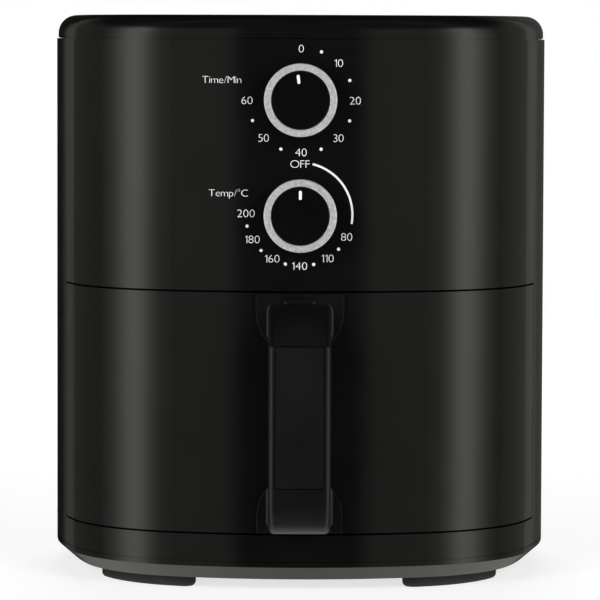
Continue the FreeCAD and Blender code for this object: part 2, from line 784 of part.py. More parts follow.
def knob(z):
    """Knob body: a cup with a solid face, a step for the ring and a hub for the spindle."""
    back = FRONT_Y - 0.9
    face = FRONT_Y - KNOB_OUT
    step = face + KNOB_STEP
    body = rod(KNOB_R, step, back, 0, z)
    body = body.fuse(rod(RING_HOLE_R - 0.1, face + 0.35, step + 0.1, 0, z))
    crown = [e for e in body.Edges if e.BoundBox.YMax < face + 0.5]
    body = body.makeFillet(0.5, crown)
    body = body.cut(rod(KNOB_R - 2, step + 2, back + 1, 0, z))
    hub = rod(KNOB_HUB_R, step + 1, back, 0, z)
    body = fuse([body, hub])
    body = body.cut(rod(SHAFT_R, step + 2.5, back + 1, 0, z))
    pocket = pointer_shape(z, 0.05)
    return body.cut(pocket)


def knob_ring(z):
    face = FRONT_Y - KNOB_OUT
    ring = rod(RING_R, face, face + 4.9, 0, z)
    rim = [e for e in ring.Edges if e.BoundBox.YMax < face + 0.1]
    ring = ring.makeFillet(0.8, rim)
    ring = ring.cut(rod(RING_HOLE_R, face - 1, face + 6, 0, z))
    mouth = [
        e for e in ring.Edges
        if e.BoundBox.YMax < face + 0.1 and e.BoundBox.XLength < 2 * RING_HOLE_R + 0.1
    ]
    return ring.makeChamfer(0.4, mouth)


def pointer_shape(z, spare=0.0):
    """A short upright bar with round ends near the top of the knob's face."""
    face = FRONT_Y - KNOB_OUT
    half = POINTER_HALF + spare
    low, high = z + POINTER_FROM, z + POINTER_TO
    bar = box(-half, half, face + 0.15 - spare, face + 1.5 + spare, low, high)
    ends = [rod(half, face + 0.15 - spare, face + 1.5 + spare, 0, end) for end in (low, high)]
    return fuse([bar] + ends)


def knob_shaft(z, depth):
    shaft = rod(SHAFT_R, FRONT_Y - KNOB_OUT + 7.5, FRONT_Y + depth, 0, z)
    return shaft.cut(box(-4, 4, FRONT_Y - 11, FRONT_Y - 1.2, z + 2.2, z + 4))


def turned(shape, z):
    """Turns a timer piece to where its pointer rests, just short of the zero mark."""
    return shape.rotate(vec(0, 0, z), vec(0, 1, 0), -TIMER_REST_DEG)


# ---------------------------------------------------------------- drawer


def drawer_front():
    low = Z_DRAWER_LOW + DRAWER_GAP
    high = Z_DRAWER_HIGH - DRAWER_GAP
    skin = band(0, WALL, low, high)
    top = band(WALL - 0.5, 12, high - 2.5, high)
    bottom = band(WALL - 0.5, 12, low, low + 2.5)
    posts = [rod(3.5, front_wall_y(x, WALL - 0.5), front_wall_y(x, 12.5), x, z)
             for x, z in DRAWER_SCREWS]
    panel = ahead(fuse([skin, top, bottom] + posts), DRAWER_BACK)
    panel = panel.cut(prism(12.05, 0, 400).common(box(-90, 90, -200, 0, 40, 150)))
    for x, z in DRAWER_SCREWS:
        panel = panel.cut(rod(1.55, front_wall_y(x, 6), front_wall_y(x, 20), x, z))
    for x, z in HANDLE_SCREWS:
        panel = panel.cut(rod(2.1, FRONT_Y - 2, FRONT_Y + 6, x, z))
    for half, z, up in ROOTS:
        groove = root_shape(half + PLATE_GROOVE, z, up).cut(root_shape(half, z, up))
        panel = panel.cut(groove.common(band(-5, SEAM_DEPTH, 0, 400)))
    return panel


def front_wall_y(x, inset):
    """How far forward the plan, drawn in by inset, reaches at a place across the front."""
    radius = R_FRONT - inset
    return R_FRONT - HALF_D - math.sqrt(radius**2 - x**2)


def drawer_liner():
    low = Z_DRAWER_LOW + DRAWER_GAP + 2.8
    high = Z_DRAWER_HIGH - DRAWER_GAP - 2.8
    skin = band(12.3, 14.5, low, high)
    top = band(WALL + 0.4, 14.5, high - 2.4, high)
    bottom = band(WALL + 0.4, 14.5, low, low + 2.4)
    rim = behind(band(WALL + 0.4, 14.5, low, high), DRAWER_BACK - 2.4)
    cover = ahead(fuse([skin, top, bottom, rim]), DRAWER_BACK)
    for x, z in DRAWER_SCREWS:
        cover = cover.cut(rod(1.7, -150, -100, x, z))
    for x, z in HANDLE_SCREWS:
        cover = cover.cut(rod(4.6, FRONT_Y + 8, -120, x, z))
    return cover


def drawer_screws():
    screws = []
    for x, z in DRAWER_SCREWS:
        y0 = front_wall_y(x, 7)
        y1 = front_wall_y(x, 15.4)
        screws.append(rod(1.5, y0, y1 + 0.1, x, z).fuse(rod(3.0, y1, y1 + 2.0, x, z)))
    return Part.Compound(screws)


def handle_profile():
    """Side view of the grip, as an upright loop with a root at top and bottom."""
    out = FRONT_Y - HANDLE_OUT
    grip = out + HANDLE_THICK
    root = FRONT_Y + 3.0
    drop = (HANDLE_TOP - HANDLE_SHOULDER) / HANDLE_OUT
    points = [
        (root, HANDLE_TOP + 3.0 * drop),
        (out, HANDLE_SHOULDER),
        (out, CHIN_TURN),
        (out + CHIN_BACK, HANDLE_LOW),
        (root, HANDLE_LOW),
        (root, HANDLE_CHIN - 3.5),
        (grip, HANDLE_CHIN - 3.5),
        (grip, HANDLE_SHOULDER - 11.0),
        (root, HANDLE_TOP - 16.5),
    ]
    corners = [vec(0, y, z) for y, z in points]
    face = Part.Face(Part.makePolygon(corners + corners[:1]))
    bar = face.extrude(vec(2 * HANDLE_HALF, 0, 0))
    bar.translate(vec(-HANDLE_HALF, 0, 0))
    chin = ((out, CHIN_TURN), (out + CHIN_BACK, HANDLE_LOW))
    for radius, (y, z) in zip(CHIN_ROUNDS, chin):
        bar = bar.makeFillet(radius, cross_edges(bar, y, z))
    bar = bar.makeFillet(3.0, cross_edges(bar, out, HANDLE_SHOULDER))
    for z in (HANDLE_CHIN - 3.5, HANDLE_SHOULDER - 11.0):
        bar = bar.makeFillet(8.0, cross_edges(bar, grip, z))
    return bar


def cross_edges(shape, y, z):
    """Edges that run along X through a given point of the side view."""
    found = []
    for edge in shape.Edges:
        b = edge.BoundBox
        if b.XLength > 10 and b.YLength < 0.01 and b.ZLength < 0.01:
            if abs(b.YMin - y) < 0.01 and abs(b.ZMin - z) < 0.01:
                found.append(edge)
    return found


def root_shape(half, z, up):
    """D-shaped root, square towards the seam and round towards the grip."""
    end = Z_DRAWER_HIGH - DRAWER_GAP - 0.4 if up else Z_DRAWER_LOW + DRAWER_GAP + 0.4
    y0 = FRONT_Y - PLATE_OUT
    disc = rod(half, y0, FRONT_Y + 6, 0, z)
    z0, z1 = sorted((z, end))
    block = box(-half, half, y0, FRONT_Y + 6, z0, z1)
    low, high = (z0 - half, z1) if up else (z0, z1 + half)
    return fuse([disc, block]).common(box(-100, 100, -200, 0, low, high))


def handle_grip():
    bar = handle_profile()
    bar = bar.makeFillet(HANDLE_EDGE, [e for e in bar.Edges if on_side(e)])
    plane = FRONT_Y - PLATE_OUT
    plates = []
    for half, z, up in ROOTS:
        plate = root_shape(half, z, up)
        plates.append(plate.makeFillet(0.3, in_plane(plate, plane)))
    grip = fuse([bar] + plates)
    roots = [e for e in in_plane(grip, plane) if abs(e.BoundBox.Center.x) < HANDLE_HALF + 0.1]
    roots = [e for e in roots if e.BoundBox.XMax < HANDLE_HALF + 0.1]
    roots = [e for e in roots if e.BoundBox.XMin > -HANDLE_HALF - 0.1]
    grip = grip.makeFillet(ROOT_ROUND, roots)
    grip = grip.cut(prism(0, 0, 400))
    front = FRONT_Y - HANDLE_OUT
    half = INLAY_HALF
    high = HANDLE_SHOULDER - 0.4
    grip = grip.cut(box(-half, half, front - 1, front + 2, HANDLE_CHIN, high))
    back = front + HANDLE_THICK
    grip = grip.cut(box(-12, 12, back - 2, back + 1, 70, 114))
    for x, z in HANDLE_SCREWS:
        grip = grip.cut(rod(2.05, FRONT_Y - 16, FRONT_Y + 5, x, z))
    slot = box(-NIB_SLOT_HALF, NIB_SLOT_HALF, plane - 1, plane + NIB_SLOT_DEPTH, *NIB_SLOT)
    nib = handle_nib(plane - 0.3).cut(prism(0, 0, 400))
    return fuse([grip.cut(slot), nib])


def handle_nib(y):
    """Short round-ended rib along the top of the slope, just below its slot."""
    bar = Part.makeCylinder(NIB_R, 2 * NIB_HALF, vec(-NIB_HALF, y, NIB_Z), vec(1, 0, 0))
    ends = [Part.makeSphere(NIB_R, vec(x, y, NIB_Z)) for x in (-NIB_HALF, NIB_HALF)]
    return fuse([bar] + ends)


def on_side(edge):
    b = edge.BoundBox
    return b.XLength < 0.01 and abs(abs(b.XMin) - HANDLE_HALF) < 0.01


def in_plane(shape, y):
    """Edges that lie wholly in the upright plane at y."""
    return [e for e in shape.Edges
            if abs(e.BoundBox.YMin - y) < 0.01 and abs(e.BoundBox.YMax - y) < 0.01]


def handle_inlay():
    y = FRONT_Y - HANDLE_OUT
    gap = 0.3
    plate = box(-INLAY_HALF + gap, INLAY_HALF - gap, y + 0.35, y + 2,
                HANDLE_CHIN + gap, HANDLE_SHOULDER - 0.4 - gap)
    face = [e for e in plate.Edges if e.BoundBox.YMax < y + 0.36]
    return plate.makeFillet(0.4, face)


def handle_back_cover():
    back = FRONT_Y - HANDLE_OUT + HANDLE_THICK
    plate = box(-11.8, 11.8, back - 2, back - 0.1, 70.2, 113.8)
    return plate.makeFillet(0.5, [e for e in plate.Edges if e.BoundBox.YMin > back - 0.2])


def handle_screws():
    screws = []
    for x, z in HANDLE_SCREWS:
        inner = FRONT_Y + WALL + 0.4
        head = rod(4.0, inner, inner + 2.4, x, z)
        screws.append(head.fuse(rod(2.0, FRONT_Y - 15, inner + 0.1, x, z)))
    return Part.Compound(screws)


def pan():
    outer = prism(PAN_IN, Z_PAN, Z_PAN_RIM)
    outer = outer.makeFillet(12.0, edges_at(outer, Z_PAN))
    inner = prism(PAN_IN + PAN_WALL, Z_PAN + PAN_WALL, Z_PAN_RIM + 5)
    inner = inner.makeFillet(12.0 - PAN_WALL, edges_at(inner, Z_PAN + PAN_WALL))
    rim = band(PAN_IN - 4, PAN_IN + 0.5, Z_PAN_RIM - PAN_WALL, Z_PAN_RIM)
    bowl = fuse([outer.cut(inner), rim])
    for x, z in RIVETS:
        bowl = bowl.cut(rod(2.1, -130, -110, x, z))
    return bowl


def pan_bracket():
    z0, z1 = 58, 124
    near = band(14.8, 16.3, z0, z1).common(box(-32, 32, -200, 0, z0, z1))
    far = band(PAN_IN - 1.7, PAN_IN - 0.2, z0, z1).common(box(-32, 32, -200, 0, z0, z1))
    shapes = [near, far]
    for x in (-17, 17):
        web = band(16.0, PAN_IN - 1.5, z0, z1)
        shapes.append(web.common(box(x - 0.75, x + 0.75, -200, 0, z0, z1)))
    bracket = fuse(shapes)
    for x, z in RIVETS:
        bracket = bracket.cut(rod(2.1, -130, -110, x, z))
    return bracket


def pan_rivets():
    rivets = []
    for x, z in RIVETS:
        inside = front_wall_y(abs(x) - 4, PAN_IN + PAN_WALL) + 1.2
        outside = front_wall_y(x, PAN_IN - 1.7) - 0.6
        shank = rod(2.0, outside - 0.6, inside, x, z)
        rivets.append(fuse([shank, rod(3.2, inside - 0.1, inside + 1.0, x, z)]))
    return Part.Compound(rivets)


def crisper_plate():
    plate = prism(PAN_IN + PAN_WALL + 2.4, Z_PLATE, Z_PLATE + 1.2)
    pitch = 15.0
    holes = []
    for row in range(-7, 8):
        y = row * pitch * math.sqrt(3) / 2
        shift = pitch / 2 if row % 2 else 0.0
        for column in range(-8, 9):
            x = column * pitch + shift
            if inside_plate(x, y, 10.0) and math.hypot(x, y) > 18:
                holes.append(post(3.2, Z_PLATE - 1, Z_PLATE + 3, x, y))
    holes.append(post(10.0, Z_PLATE - 1, Z_PLATE + 3))
    return plate.cut(Part.Compound(holes))


def inside_plate(x, y, margin):
    """Whether a hole stays clear of the edge of the crisper plate and of its feet."""
    inset = PAN_IN + PAN_WALL + 2.4 + margin
    if math.hypot(abs(x) - HALF_W + R_SIDE, y) > R_SIDE - inset:
        return False
    if math.hypot(x, abs(y) + R_FRONT - HALF_D) > R_FRONT - inset:
        return False
    corner = math.hypot(abs(x) - CORNER_X, abs(y) + CORNER_Y)
    if abs(x) > CORNER_X and abs(y) > -CORNER_Y and corner > R_CORNER - inset:
        return False
    return math.hypot(abs(x) - PLATE_FOOT[0], abs(y) - PLATE_FOOT[1]) > 9


def plate_feet():
    x, y = PLATE_FOOT
    feet = []
    for sx, sy in ((1, 1), (-1, 1), (1, -1), (-1, -1)):
        pad = post(5.0, Z_PAN + PAN_WALL + 0.3, Z_PLATE, sx * x, sy * y)
        pad = pad.makeFillet(1.5, edges_at(pad, Z_PAN + PAN_WALL + 0.3))
        feet.append(pad)
    return Part.Compound(feet)


# ---------------------------------------------------------------- export

PARTS = {
    "housing": housing,
    "top_cover": top_cover,
    "base": base,
    "feet": feet,
    "base_screws": base_screws,
    "rear_vent_cover": rear_vent_cover,
    "cord_gland": cord_gland,
    "chamber_frame": chamber_frame,
    "chamber_liner": chamber_liner,
    "slide_rails": slide_rails,
    "interlock_switch": interlock_switch,
    "interlock_plunger": interlock_plunger,
    "heat_shield": heat_shield,
    "insulation": insulation,
    "heating_element": heating_element,
    "element_clips": element_clips,
    "element_guard": element_guard,
    "motor_mount_plate": motor_mount_plate,
    "motor_standoffs": motor_standoffs,
    "motor_stator": motor_stator,
    "motor_coil": motor_coil,
    "motor_brackets": motor_brackets,
    "motor_bearings": motor_bearings,
    "motor_screws": motor_screws,
    "motor_shaft": motor_shaft,
    "motor_rotor": motor_rotor,
    "convection_fan": convection_fan,
    "cooling_fan": cooling_fan,
    "fan_nut": fan_nut,
    "exhaust_duct": exhaust_duct,
    "thermal_cutout": thermal_cutout,
    "terminal_block": terminal_block,
    "control_bracket": control_bracket,
    "timer_case": timer_case,
    "timer_bell": timer_bell,
    "thermostat_case": thermostat_case,
    "thermostat_bulb": thermostat_bulb,
    "timer_knob": lambda: turned(knob(Z_TIMER), Z_TIMER),
    "timer_knob_ring": lambda: turned(knob_ring(Z_TIMER), Z_TIMER),
    "timer_pointer": lambda: turned(pointer_shape(Z_TIMER), Z_TIMER),
    "timer_shaft": lambda: turned(knob_shaft(Z_TIMER, 33), Z_TIMER),
    "temperature_knob": lambda: knob(Z_THERMOSTAT),
    "temperature_knob_ring": lambda: knob_ring(Z_THERMOSTAT),
    "temperature_pointer": lambda: pointer_shape(Z_THERMOSTAT),
    "temperature_shaft": lambda: knob_shaft(Z_THERMOSTAT, 25),
    "drawer_front": drawer_front,
    "drawer_liner": drawer_liner,
    "drawer_screws": drawer_screws,
    "handle_grip": handle_grip,
    "handle_inlay": handle_inlay,
    "handle_back_cover": handle_back_cover,
    "handle_screws": handle_screws,
    "pan": pan,
    "pan_bracket": pan_bracket,
    "pan_rivets": pan_rivets,
    "crisper_plate": crisper_plate,
    "plate_feet": plate_feet,
}


def main():
    os.makedirs("parts", exist_ok=True)
    for name, make in PARTS.items():
        shape = make()
        shape.translate(vec(0, BODY_Y, 0))
        shape.exportStep(f"parts/{name}.step")
        solids = len(shape.Solids)
        print(f"{name:24s} solids {solids:2d}  volume {shape.Volume / 1000:9.2f} cm3  "
              f"valid {shape.isValid()}")


main()
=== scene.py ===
# Looks of the twin-dial air fryer: finishes, printed scales, studio light and camera.
# Metres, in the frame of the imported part: +Z up, front towards -Y.
import json
import math

import bmesh
import bpy
from mathutils import Matrix, Vector


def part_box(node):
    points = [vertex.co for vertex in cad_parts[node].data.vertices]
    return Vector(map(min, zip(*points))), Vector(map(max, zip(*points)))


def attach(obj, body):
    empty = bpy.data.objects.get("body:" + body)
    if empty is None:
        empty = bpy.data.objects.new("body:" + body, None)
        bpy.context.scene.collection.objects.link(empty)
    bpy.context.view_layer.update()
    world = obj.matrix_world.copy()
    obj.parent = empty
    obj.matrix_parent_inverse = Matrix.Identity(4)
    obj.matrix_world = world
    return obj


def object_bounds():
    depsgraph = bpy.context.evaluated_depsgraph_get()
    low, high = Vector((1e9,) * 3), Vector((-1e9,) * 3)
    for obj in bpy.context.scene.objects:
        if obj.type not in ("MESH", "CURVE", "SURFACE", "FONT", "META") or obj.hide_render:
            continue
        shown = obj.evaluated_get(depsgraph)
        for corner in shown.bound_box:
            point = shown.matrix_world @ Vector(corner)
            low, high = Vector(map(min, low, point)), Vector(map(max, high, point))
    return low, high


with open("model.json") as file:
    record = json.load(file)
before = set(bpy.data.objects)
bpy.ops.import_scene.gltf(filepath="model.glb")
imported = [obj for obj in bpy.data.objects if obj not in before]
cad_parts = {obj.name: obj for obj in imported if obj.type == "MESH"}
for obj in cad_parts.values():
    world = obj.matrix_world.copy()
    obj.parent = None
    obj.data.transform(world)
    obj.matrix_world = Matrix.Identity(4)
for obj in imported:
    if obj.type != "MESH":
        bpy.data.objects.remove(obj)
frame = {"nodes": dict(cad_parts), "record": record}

cad_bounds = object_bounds()

# Print on the front wall's arc. Angles run clockwise from a dial's top, and a pair that ends in
# _AT or _SHIFT goes sideways and up from the dial's shaft.
FRONT_RADIUS = 0.219
PRINT_PROUD = 0.00005
PRINT_SUNK = 0.0001
DIGIT_HEIGHT = 0.0040
WORD_HEIGHT = 0.0036
DOT_RADIUS = 0.00085
DOT_SIDES = 20
ARC_PIECES = 60

# Letters, in the font's own size, before they are scaled to a height and laid on the wall.
LETTER_STRETCH = 1.1
LETTER_THIN = 0.019
LETTER_GAP = 0.09
LETTER_CURVE_STEPS = 5
HALF_THICK = 0.5
# The figure 1, in shares of its height.
ONE_OUTLINE = ((0.20, 0.0), (0.28, 0.0), (0.28, 1.0), (0.215, 1.0), (0.14, 0.88), (0.0, 0.83),
               (0.0, 0.77), (0.20, 0.82))

# Timer scale.
TIMER_MARKS = 7
TIMER_MARK_MINUTES = 10
TIMER_STEP_DEG = 45.0
TIMER_RADIUS = 0.0272
TIMER_SIDE_ROOM = 0.0012
TIMER_DOT_RADIUS = 0.0276
TIMER_SHIFT = (0.00025, -0.0004)
TIMER_TITLE_AT = (-0.0415, 0.0104)

# Temperature scale.
HEAT_MARKS = ((115.0, "80"), (148.0, "110"), (181.5, "140"), (213.6, "160"), (243.7, "180"),
              (272.0, "200"))
HEAT_DOTS_DEG = (131.7, 165.3, 197.8, 228.7, 258.7)
HEAT_RADIUS = 0.0265
HEAT_LEFT_ROOM = 0.0025
HEAT_SHIFT = (0.0004, -0.0004)
HEAT_TITLE_AT = (-0.0379, 0.0113)
OFF_AT = (-0.0002, 0.0267)
OFF_ARC_RADIUS = 0.0274
OFF_ARC_DEG = (13.5, 100.0)
OFF_ARC_WIDTH = 0.0011

# Camera.
CAMERA_AWAY = 2.1432
CAMERA_HEIGHT = 0.2942
CAMERA_PITCH_DEG = 3.708
CAMERA_ROLL_DEG = 0.189
CAMERA_REACH = 100.0
LENS_MM = 245.0
SENSOR_MM = 36.0

# Studio: brightness by azimuth from straight ahead of the object, for both sides alike.
STUDIO_TONES = (
    (0.0, 0.0), (16.5, 0.0), (21.5, 0.24), (40.0, 0.25), (47.0, 0.40), (55.0, 0.92),
    (62.0, 1.70), (68.0, 1.95), (74.0, 1.70), (82.0, 0.95), (91.0, 0.40), (102.0, 0.14),
    (125.0, 0.11), (142.0, 0.08), (150.0, 0.15), (155.0, 0.10), (159.0, 0.01), (180.0, 0.01),
)
STUDIO_PEAK = 2.0
STUDIO_WARMTH = (0.99, 1.0, 0.91)

# How the studio changes with height: the tones at the two ends of a band, and the sines of the
# band's ends above level.
OVERHEAD_TONES = (1.0, 0.05)
OVERHEAD_BAND = (0.38, 0.62)
LEVEL_TONES = (0.90, 1.03)
LEVEL_BAND = (-0.11, -0.03)
FLOOR_AHEAD_TONES = (0.30, 0.0)
FLOOR_AHEAD_BAND = (-0.85, -0.60)

# Glows round one direction, which is given as shares of two axes: the tones at the two ends of
# a band, and how nearly the band's ends face that direction.
RIM_XY = (0.6, 0.8)
RIM_TONES = (0.0, 0.06)
RIM_BAND = (0.72, 0.86)
FLOOR_BEHIND_ZY = (-0.75, 0.45)
FLOOR_BEHIND_TONES = (0.0, 0.66)
FLOOR_BEHIND_BAND = (0.58, 0.84)

# Soft lights: place, side and power in watts.
SOFTBOXES = {
    "key_left": ((-1.6, -2.4, 1.0), 1.4, 55.0),
    "key_right": ((1.6, -2.4, 1.0), 1.4, 55.0),
    "fill_back": ((0.0, 2.4, 1.4), 1.6, 45.0),
}

# Backdrop, and the floor that fades into it between two distances from the object.
BACKDROP_RADIUS = 14.0
BACKDROP_SEGMENTS = 48
BACKDROP_RINGS = 24
FLOOR_SEGMENTS = 96
FLOOR_FADE = (0.3, 2.0)
FLOOR_GREY = 0.42
FLOOR_ROUGH = 0.9
FLOOR_GLOW = 0.72
WHITE_LIGHT = (1.0, 1.0, 1.0, 1.0)


# ---------------------------------------------------------------- node helpers


def feed(tree, node, inputs):
    """Links each input that is given as a socket, and sets the others."""
    for key, value in inputs.items():
        if isinstance(value, bpy.types.NodeSocket):
            tree.links.new(value, node.inputs[key])
        else:
            node.inputs[key].default_value = value


def add(tree, kind, inputs=None, **settings):
    """A new node with its settings and inputs."""
    made = tree.nodes.new("ShaderNode" + kind)
    for key, value in settings.items():
        setattr(made, key, value)
    feed(tree, made, inputs or {})
    return made


def maths(tree, operation, *values):
    return add(tree, "Math", dict(enumerate(values)), operation=operation).outputs[0]


def vector_maths(tree, operation, *values):
    return add(tree, "VectorMath", dict(enumerate(values)), operation=operation).outputs


def weighed(tree, first, second, shares):
    """The sum of two values, each times its share."""
    part = maths(tree, "MULTIPLY", first, shares[0])
    return maths(tree, "ADD", part, maths(tree, "MULTIPLY", second, shares[1]))


def place(tree, stretch=(1.0, 1.0, 1.0), output="Object"):
    """Coordinates fixed to the piece, stretched per axis."""
    source = add(tree, "TexCoord").outputs[output]
    return add(tree, "Mapping", {"Vector": source, "Scale": stretch}).outputs[0]


def noise(tree, where, scale, detail=3.0):
    inputs = {"Vector": where, "Scale": scale, "Detail": detail}
    return add(tree, "TexNoise", inputs).outputs[0]


def cells(tree, where, scale, output="Distance"):
    return add(tree, "TexVoronoi", {"Vector": where, "Scale": scale}).outputs[output]


def lines(tree, where, scale, waver, along):
    """Close parallel lines that follow each other along one axis."""
    inputs = {"Vector": where, "Scale": scale, "Distortion": waver}
    return add(tree, "TexWave", inputs, bands_direction=along).outputs[1]


def spread(tree, value, low=0.0, high=1.0, start=0.3, end=0.7):
    """Maps the values from start to end onto low to high, and holds the others there."""
    return add(tree, "MapRange", {
        "Value": value, "From Min": start, "From Max": end, "To Min": low, "To Max": high,
    }).outputs[0]


def tint(tree, share, first, second):
    """A colour between two others."""
    ramp = add(tree, "ValToRGB", {"Fac": share})
    for element, colour in zip(ramp.color_ramp.elements, (first, second)):
        element.color = (*colour, 1.0)
    return ramp.outputs[0]


def relief(tree, height, depth):
    return add(tree, "Bump", {"Height": height, "Distance": depth}).outputs[0]


def start(name):
    """A new material, its node tree and its shader."""
    made = bpy.data.materials.new(name)
    made.use_nodes = True
    return made, made.node_tree, made.node_tree.nodes["Principled BSDF"]


def grey(value):
    return (value, value, value)


def times(colour, factor):
    return tuple(channel * factor for channel in colour)


# ---------------------------------------------------------------- finishes


def plastic(name, colour, rough, wear=0.05, grain=900.0, depth=0.000004, ior=1.46):
    """Moulded plastic: faint handling marks in the gloss and a fine skin."""
    made, tree, shader = start(name)
    where = place(tree)
    marks = noise(tree, where, scale=38.0, detail=6.0)
    skin = noise(tree, where, scale=grain, detail=2.0)
    feed(tree, shader, {
        "Base Color": tint(tree, spread(tree, marks), times(colour, 0.82), colour),
        "Roughness": spread(tree, marks, rough, rough + wear),
        "Normal": relief(tree, skin, depth),
        "IOR": ior,
    })
    return made


def rubber(name, colour, rough):
    """Soft moulding with a matt, slightly dusty skin."""
    made, tree, shader = start(name)
    where = place(tree)
    dust = noise(tree, where, scale=140.0, detail=6.0)
    skin = noise(tree, where, scale=1600.0, detail=2.0)
    dusted = spread(tree, dust, start=0.45, end=0.75)
    feed(tree, shader, {
        "Base Color": tint(tree, dusted, colour, times(colour, 1.7)),
        "Roughness": spread(tree, dust, rough - 0.06, rough + 0.06),
        "Normal": relief(tree, skin, depth=0.00001),
    })
    return made


def brushed(name, colour, rough, stretch=(1.0, 40.0, 40.0)):
    """Bare metal with fine lines along one axis and faint stains."""
    made, tree, shader = start(name)
    scratches = noise(tree, place(tree, stretch), scale=120.0, detail=5.0)
    stains = noise(tree, place(tree), scale=25.0, detail=4.0)
    feed(tree, shader, {
        "Base Color": tint(tree, spread(tree, stains), times(colour, 0.8), colour),
        "Metallic": 1.0,
        "Roughness": spread(tree, scratches, rough, rough + 0.14),
        "Normal": relief(tree, scratches, depth=0.000012),
    })
    return made


def sheet_steel(name, colour, rough):
    """Coated sheet: large crystal spangles under a faint rolling grain."""
    made, tree, shader = start(name)
    crystals = cells(tree, place(tree), scale=60.0, output="Color")
    share = add(tree, "SeparateColor", {"Color": crystals}).outputs[0]
    rolled = noise(tree, place(tree, (1.0, 18.0, 18.0)), scale=90.0, detail=4.0)
    crystal_rough = spread(tree, share, high=0.12, start=0.0, end=1.0)
    rolled_rough = spread(tree, rolled, rough - 0.04, rough + 0.06)
    feed(tree, shader, {
        "Base Color": tint(tree, share, times(colour, 0.78), colour),
        "Metallic": 1.0,
        "Roughness": maths(tree, "ADD", crystal_rough, rolled_rough),
        "Normal": relief(tree, rolled, depth=0.00001),
    })
    return made


def dial_silver(name):
    """Satin silver plating: a fine sparkle painted into the base colour as glints, and rings left
    by turning.
    """
    made, tree, shader = start(name)
    source = place(tree, output="Generated")
    centred = vector_maths(tree, "SUBTRACT", source, (0.5, 0.5, 0.5))[0]
    flat = vector_maths(tree, "MULTIPLY", centred, (1.0, 0.0, 1.0))[0]
    radius = vector_maths(tree, "LENGTH", flat)["Value"]
    outward = add(tree, "CombineXYZ", {"X": maths(tree, "MULTIPLY", radius, 60.0)}).outputs[0]
    rings = noise(tree, outward, scale=5.0, detail=5.0)
    painted_sparkle = noise(tree, place(tree), scale=650.0, detail=2.0)
    feed(tree, shader, {
        # painted glints: a fine noise lightens and darkens the base colour as sparkle
        "Base Color": tint(tree, spread(tree, painted_sparkle), grey(0.45), grey(0.65)),
        "Metallic": 0.5,
        "Roughness": spread(tree, rings, 0.30, 0.44),
        "Normal": relief(tree, rings, depth=0.000008),
    })
    return made


def print_white(name):
    """Screen-printed ink, a little thin in places."""
    made, tree, shader = start(name)
    thin = noise(tree, place(tree), scale=1500.0, detail=4.0)
    feed(tree, shader, {
        "Base Color": tint(tree, spread(tree, thin), grey(0.62), grey(0.74)),
        "Roughness": spread(tree, thin, 0.42, 0.6),
        "Normal": relief(tree, thin, depth=0.000006),
    })
    return made


def nonstick(name):
    """Dark fluoropolymer coating with fine light flecks."""
    made, tree, shader = start(name)
    where = place(tree)
    flecks = spread(tree, cells(tree, where, scale=420.0), low=1.0, high=0.0, start=0.10, end=0.20)
    patches = spread(tree, noise(tree, where, scale=180.0, detail=2.0), start=0.45, end=0.55)
    share = maths(tree, "MULTIPLY", flecks, patches)
    skin = noise(tree, where, scale=700.0)
    feed(tree, shader, {
        "Base Color": tint(tree, share, grey(0.014), grey(0.16)),
        "Roughness": spread(tree, skin, 0.32, 0.44),
        "Normal": relief(tree, skin, depth=0.00002),
        "IOR": 1.42,
    })
    return made


def element_steel(name):
    """Heating element's sheath: dark oxide with straw and blue heat tints."""
    made, tree, shader = start(name)
    where = place(tree)
    bands = noise(tree, where, scale=45.0, detail=5.0)
    pits = noise(tree, where, scale=900.0)
    blue = (0.055, 0.050, 0.060)
    straw = (0.17, 0.14, 0.105)
    feed(tree, shader, {
        "Base Color": tint(tree, spread(tree, bands), blue, straw),
        "Metallic": 0.85,
        "Roughness": spread(tree, pits, 0.38, 0.58),
        "Normal": relief(tree, pits, depth=0.00002),
    })
    return made


def core_steel(name):
    """Stack of punched laminations, seen as fine lines round the core."""
    made, tree, shader = start(name)
    where = place(tree)
    sheets = lines(tree, where, scale=320.0, waver=0.4, along="Z")
    oxide = noise(tree, where, scale=200.0, detail=4.0)
    feed(tree, shader, {
        "Base Color": tint(tree, sheets, (0.10, 0.10, 0.11), (0.26, 0.26, 0.27)),
        "Metallic": 0.9,
        "Roughness": spread(tree, oxide, 0.42, 0.62),
        "Normal": relief(tree, sheets, depth=0.00006),
    })
    return made


def winding(name):
    """Enamelled copper wire wound side by side."""
    made, tree, shader = start(name)
    where = place(tree)
    turns = lines(tree, where, scale=520.0, waver=0.8, along="X")
    shade = noise(tree, where, scale=90.0)
    dark_enamel = (0.34, 0.10, 0.035)
    light_enamel = (0.52, 0.19, 0.06)
    feed(tree, shader, {
        "Base Color": tint(tree, spread(tree, shade), dark_enamel, light_enamel),
        "Metallic": 0.7,
        "Roughness": spread(tree, shade, 0.28, 0.42),
        "Normal": relief(tree, turns, depth=0.00012),
        "Coat Weight": 0.5,
        "Coat Roughness": 0.2,
    })
    return made


def insulation_wool(name):
    """Needled mineral wool: tangled fibres over soft lumps, with painted shade darkening the
    hollows between the fibres.
    """
    made, tree, shader = start(name)
    fibres = noise(tree, place(tree, (1.0, 6.0, 1.0)), scale=420.0, detail=8.0)
    lumps = noise(tree, place(tree), scale=70.0, detail=4.0)
    height = maths(tree, "ADD", fibres, lumps)
    # painted shade: the colour darkens where the fibres sink, standing in for shade in the hollows
    painted_hollow_shade = (0.44, 0.42, 0.36)
    strand = (0.70, 0.68, 0.62)
    feed(tree, shader, {
        "Base Color": tint(tree, spread(tree, fibres), painted_hollow_shade, strand),
        "Roughness": 0.95,
        "Normal": relief(tree, height, depth=0.0004),
        "Sheen Weight": 0.3,
    })
    return made


